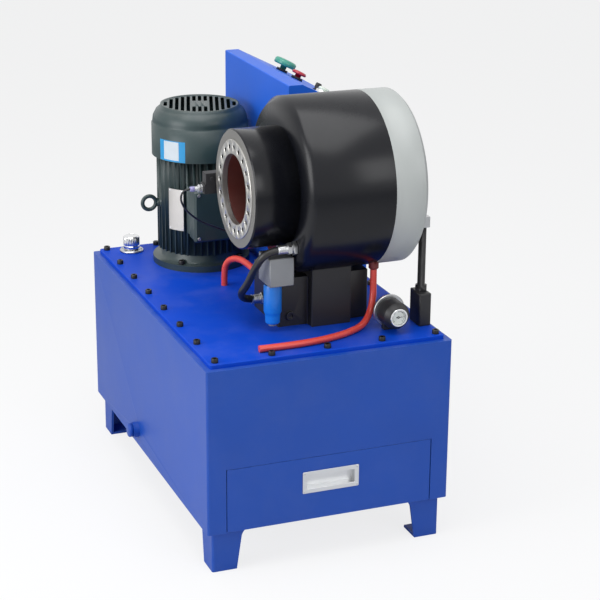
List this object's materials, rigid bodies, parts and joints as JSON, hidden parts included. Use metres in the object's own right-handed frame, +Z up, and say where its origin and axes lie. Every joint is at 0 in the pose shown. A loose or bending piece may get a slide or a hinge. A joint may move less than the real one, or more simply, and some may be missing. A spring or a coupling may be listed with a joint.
{
  "type": "hose crimping machine",
  "caption": "Hydraulic hose crimping machine: oil tank with a tool drawer, upright motor, ring-shaped crimping head with radial die shoes, and a sloping control cabinet.",
  "frame": {"origin": "on the floor under the middle of the machine", "axes": "+Z up, +Y towards the back of the tank, +X towards the operator, along the crimping head's axis"},
  "size_m": [0.652, 0.942, 1.043],
  "materials": {
    "tank_blue": "satin enamel",
    "leg_blue": "satin enamel",
    "plate_blue": "satin enamel",
    "cabinet_blue": "satin enamel",
    "gloss_black": "gloss enamel",
    "satin_black": "satin enamel",
    "flange_silver": "silver paint",
    "motor_green": "satin enamel",
    "black_oxide": "black oxide",
    "zinc_steel": "zinc plated",
    "tool_steel": "ground and hardened",
    "chrome": "polished",
    "aluminium": "anodised",
    "cast_grey": "machined and oiled",
    "black_rubber": "smooth cover",
    "red_hose": "smooth polyurethane",
    "boot_red": "moulded",
    "cable_black": "smooth jacket",
    "coil_blue": "moulded",
    "button_green": "moulded",
    "button_red": "moulded",
    "black_plastic": "moulded",
    "gauge_black": "satin enamel",
    "lamp_white": "frosted"
  },
  "bodies": {
    "base": {"tank_body": "tank_blue", "drain_plug": "tank_blue", "top_plate": "plate_blue", "cap_screws": "black_oxide", "drawer_rails": "zinc_steel", "level_gauge": "aluminium", "breather_flange": "zinc_steel", "head_barrel": "gloss_black", "rear_collar": "gloss_black", "retaining_ring": "zinc_steel", "ring_screws": "black_oxide", "front_flange": "flange_silver", "pedestal": "satin_black", "valve_body": "cast_grey", "solenoid_coil": "coil_blue", "fittings": "zinc_steel", "pipe_block": "satin_black", "steel_pipe": "zinc_steel", "pressure_hose": "black_rubber", "pressure_gauge": "gauge_black", "motor_flange": "motor_green", "motor_frame": "motor_green", "fan_cowl": "motor_green", "terminal_box": "motor_green", "terminal_box_lid": "motor_green", "eyebolt": "motor_green", "pump": "cast_grey", "suction_strainer": "zinc_steel", "hose_boot": "boot_red", "drain_hose": "red_hose", "return_hose": "red_hose", "sensor_bracket": "satin_black", "proximity_sensor": "zinc_steel", "sensor_cable": "cable_black", "control_cabinet": "cabinet_blue", "cabinet_cover": "cabinet_blue", "button_bezels": "black_plastic", "pilot_lamp": "lamp_white", "leg_front_left": "leg_blue", "leg_front_right": "leg_blue", "leg_back_left": "leg_blue", "leg_back_right": "leg_blue"},
    "drawer": {"drawer_tray": "zinc_steel", "drawer_front": "tank_blue", "drawer_pull": "aluminium"},
    "breather_lid": {"breather_cap": "chrome"},
    "rotor": {"motor_shaft": "zinc_steel", "motor_fan": "black_plastic"},
    "piston": {"cone_piston": "cast_grey"},
    "needle": {"gauge_needle": "satin_black"},
    "start": {"start_button": "button_green"},
    "stop": {"stop_button": "button_red"},
    "shoe_1": {"die_shoe_1": "tool_steel"},
    "shoe_2": {"die_shoe_2": "tool_steel"},
    "shoe_3": {"die_shoe_3": "tool_steel"},
    "shoe_4": {"die_shoe_4": "tool_steel"},
    "shoe_5": {"die_shoe_5": "tool_steel"},
    "shoe_6": {"die_shoe_6": "tool_steel"},
    "shoe_7": {"die_shoe_7": "tool_steel"},
    "shoe_8": {"die_shoe_8": "tool_steel"}
  },
  "joints": [
    {"name": "drawer_slide", "type": "slide", "parent": "base", "child": "drawer", "axis": [0, -1, 0], "range_m": [0, 0.35]},
    {"name": "breather_turn", "type": "hinge", "parent": "base", "child": "breather_lid", "pos_m": [-0.211, 0.412, 0.53], "axis": [0, 0, 1], "range_deg": [0, 60]},
    {"name": "rotor_spin", "type": "hinge", "parent": "base", "child": "rotor", "pos_m": [-0.058, 0.29, 0.7], "axis": [0, 0, 1], "continuous": true},
    {"name": "piston_slide", "type": "slide", "parent": "base", "child": "piston", "axis": [1, 0, 0], "range_m": [0, 0.055]},
    {"name": "needle_turn", "type": "hinge", "parent": "base", "child": "needle", "pos_m": [0.184, -0.417, 0.553], "axis": [0, 1, 0], "range_deg": [0, 270]},
    {"name": "start_press", "type": "slide", "parent": "base", "child": "start", "axis": [-0.454, 0, -0.891], "range_m": [0, 0.006], "stiffness_N_per_m": 1000, "springref_m": -0.004},
    {"name": "stop_press", "type": "slide", "parent": "base", "child": "stop", "axis": [-0.454, 0, -0.891], "range_m": [0, 0.006], "stiffness_N_per_m": 1000, "springref_m": -0.004},
    {"name": "shoe_1_slide", "type": "slide", "parent": "base", "child": "shoe_1", "axis": [0, -1, 0], "range_m": [0, 0.0201]},
    {"name": "shoe_2_slide", "type": "slide", "parent": "base", "child": "shoe_2", "axis": [0, -0.7071, -0.7071], "range_m": [0, 0.0201]},
    {"name": "shoe_3_slide", "type": "slide", "parent": "base", "child": "shoe_3", "axis": [0, 0, -1], "range_m": [0, 0.0201]},
    {"name": "shoe_4_slide", "type": "slide", "parent": "base", "child": "shoe_4", "axis": [0, 0.7071, -0.7071], "range_m": [0, 0.0201]},
    {"name": "shoe_5_slide", "type": "slide", "parent": "base", "child": "shoe_5", "axis": [0, 1, 0], "range_m": [0, 0.0201]},
    {"name": "shoe_6_slide", "type": "slide", "parent": "base", "child": "shoe_6", "axis": [0, 0.7071, 0.7071], "range_m": [0, 0.0201]},
    {"name": "shoe_7_slide", "type": "slide", "parent": "base", "child": "shoe_7", "axis": [0, 0, 1], "range_m": [0, 0.0201]},
    {"name": "shoe_8_slide", "type": "slide", "parent": "base", "child": "shoe_8", "axis": [0, -0.7071, 0.7071], "range_m": [0, 0.0201]}
  ],
  "couplings": [
    {"joint": "shoe_1_slide", "follows": "piston_slide", "ratio": 0.36364},
    {"joint": "shoe_2_slide", "follows": "piston_slide", "ratio": 0.36364},
    {"joint": "shoe_3_slide", "follows": "piston_slide", "ratio": 0.36364},
    {"joint": "shoe_4_slide", "follows": "piston_slide", "ratio": 0.36364},
    {"joint": "shoe_5_slide", "follows": "piston_slide", "ratio": 0.36364},
    {"joint": "shoe_6_slide", "follows": "piston_slide", "ratio": 0.36364},
    {"joint": "shoe_7_slide", "follows": "piston_slide", "ratio": 0.36364},
    {"joint": "shoe_8_slide", "follows": "piston_slide", "ratio": 0.36364}
  ]
}
